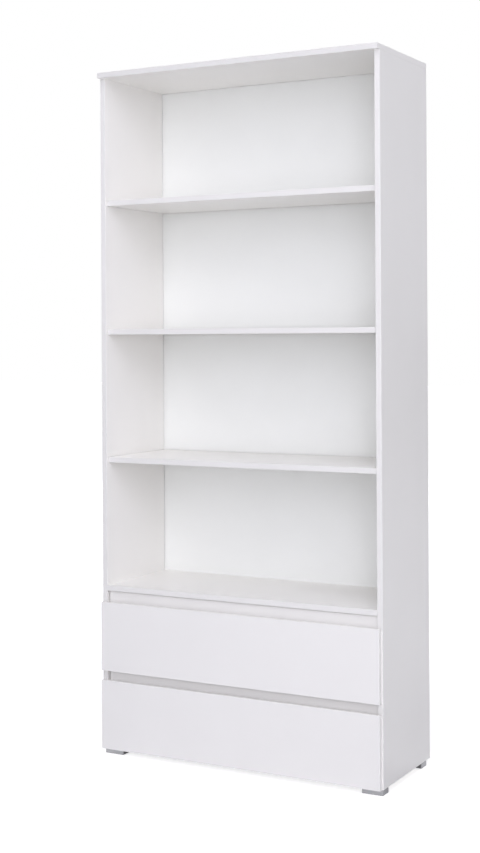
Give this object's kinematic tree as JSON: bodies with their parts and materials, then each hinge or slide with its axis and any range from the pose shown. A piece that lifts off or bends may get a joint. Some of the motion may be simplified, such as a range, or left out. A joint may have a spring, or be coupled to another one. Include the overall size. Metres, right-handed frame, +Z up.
{
  "type": "bookcase with bottom drawers",
  "caption": "Tall open bookcase of white laminated board: loose shelves above wide handleless drawers on roller runners, with finger gaps over the fronts and low metal feet.",
  "frame": {"origin": "on the floor, under the centre of the overall box", "axes": "+X to the right seen from the front, +Y to the back, +Z up"},
  "size_m": [0.9, 0.357, 2.02],
  "materials": {
    "white_board": "satin white melamine",
    "back_board": "smooth white lacquer",
    "foot_metal": "satin",
    "glide_plastic": "matte",
    "runner_steel": "white powder coat",
    "roller_nylon": "matte",
    "zinc": "cast zinc",
    "steel": "zinc plated",
    "white_plastic": "satin",
    "beech": "raw"
  },
  "bodies": {
    "carcass": {"left_side_panel": "white_board", "right_side_panel": "white_board", "top_panel": "white_board", "bottom_panel": "white_board", "fixed_shelf": "white_board", "upper_shelf": "white_board", "middle_shelf": "white_board", "lower_shelf": "white_board", "back_panel": "back_board", "back_nails": "steel", "shelf_pins": "steel", "cam_locks": "zinc", "cam_bolts": "steel", "cam_caps": "white_plastic", "dowels": "beech", "front_left_foot": "foot_metal", "front_right_foot": "foot_metal", "rear_left_foot": "foot_metal", "rear_right_foot": "foot_metal", "foot_glides": "glide_plastic", "foot_screws": "steel", "upper_left_cabinet_runner": "runner_steel", "upper_right_cabinet_runner": "runner_steel", "lower_left_cabinet_runner": "runner_steel", "lower_right_cabinet_runner": "runner_steel", "cabinet_runner_screws": "steel"},
    "upper_drawer": {"upper_drawer_front": "white_board", "upper_drawer_grip_rail": "white_board", "upper_drawer_left_side": "white_board", "upper_drawer_right_side": "white_board", "upper_drawer_back": "white_board", "upper_drawer_bottom": "back_board", "upper_drawer_left_runner": "runner_steel", "upper_drawer_right_runner": "runner_steel", "upper_drawer_screws": "steel", "upper_drawer_cam_locks": "zinc", "upper_drawer_cam_bolts": "steel", "upper_drawer_dowels": "beech"},
    "lower_drawer": {"lower_drawer_front": "white_board", "lower_drawer_grip_rail": "white_board", "lower_drawer_left_side": "white_board", "lower_drawer_right_side": "white_board", "lower_drawer_back": "white_board", "lower_drawer_bottom": "back_board", "lower_drawer_left_runner": "runner_steel", "lower_drawer_right_runner": "runner_steel", "lower_drawer_screws": "steel", "lower_drawer_cam_locks": "zinc", "lower_drawer_cam_bolts": "steel", "lower_drawer_dowels": "beech"},
    "upper_left_front_roller": {"upper_left_front_roller": "roller_nylon"},
    "upper_left_rear_roller": {"upper_left_rear_roller": "roller_nylon"},
    "upper_right_front_roller": {"upper_right_front_roller": "roller_nylon"},
    "upper_right_rear_roller": {"upper_right_rear_roller": "roller_nylon"},
    "lower_left_front_roller": {"lower_left_front_roller": "roller_nylon"},
    "lower_left_rear_roller": {"lower_left_rear_roller": "roller_nylon"},
    "lower_right_front_roller": {"lower_right_front_roller": "roller_nylon"},
    "lower_right_rear_roller": {"lower_right_rear_roller": "roller_nylon"}
  },
  "joints": [
    {"name": "upper_drawer_slide", "type": "slide", "parent": "carcass", "child": "upper_drawer", "axis": [0, -1, 0], "range_m": [0, 0.22]},
    {"name": "lower_drawer_slide", "type": "slide", "parent": "carcass", "child": "lower_drawer", "axis": [0, -1, 0], "range_m": [0, 0.22]},
    {"name": "upper_left_front_roller_spin", "type": "hinge", "parent": "carcass", "child": "upper_left_front_roller", "pos_m": [-0.42665, -0.1475, 0.2879], "axis": [1, 0, 0], "continuous": true},
    {"name": "upper_left_rear_roller_spin", "type": "hinge", "parent": "upper_drawer", "child": "upper_left_rear_roller", "pos_m": [-0.42665, 0.1255, 0.2938], "axis": [1, 0, 0], "continuous": true},
    {"name": "upper_right_front_roller_spin", "type": "hinge", "parent": "carcass", "child": "upper_right_front_roller", "pos_m": [0.42665, -0.1475, 0.2879], "axis": [1, 0, 0], "continuous": true},
    {"name": "upper_right_rear_roller_spin", "type": "hinge", "parent": "upper_drawer", "child": "upper_right_rear_roller", "pos_m": [0.42665, 0.1255, 0.2938], "axis": [1, 0, 0], "continuous": true},
    {"name": "lower_left_front_roller_spin", "type": "hinge", "parent": "carcass", "child": "lower_left_front_roller", "pos_m": [-0.42665, -0.1475, 0.0574], "axis": [1, 0, 0], "continuous": true},
    {"name": "lower_left_rear_roller_spin", "type": "hinge", "parent": "lower_drawer", "child": "lower_left_rear_roller", "pos_m": [-0.42665, 0.1255, 0.0633], "axis": [1, 0, 0], "continuous": true},
    {"name": "lower_right_front_roller_spin", "type": "hinge", "parent": "carcass", "child": "lower_right_front_roller", "pos_m": [0.42665, -0.1475, 0.0574], "axis": [1, 0, 0], "continuous": true},
    {"name": "lower_right_rear_roller_spin", "type": "hinge", "parent": "lower_drawer", "child": "lower_right_rear_roller", "pos_m": [0.42665, 0.1255, 0.0633], "axis": [1, 0, 0], "continuous": true}
  ],
  "couplings": [
    {"joint": "upper_left_front_roller_spin", "follows": "upper_drawer_slide", "rad_per_m": 125},
    {"joint": "upper_left_rear_roller_spin", "follows": "upper_drawer_slide", "rad_per_m": 125},
    {"joint": "upper_right_front_roller_spin", "follows": "upper_drawer_slide", "rad_per_m": 125},
    {"joint": "upper_right_rear_roller_spin", "follows": "upper_drawer_slide", "rad_per_m": 125},
    {"joint": "lower_left_front_roller_spin", "follows": "lower_drawer_slide", "rad_per_m": 125},
    {"joint": "lower_left_rear_roller_spin", "follows": "lower_drawer_slide", "rad_per_m": 125},
    {"joint": "lower_right_front_roller_spin", "follows": "lower_drawer_slide", "rad_per_m": 125},
    {"joint": "lower_right_rear_roller_spin", "follows": "lower_drawer_slide", "rad_per_m": 125}
  ]
}
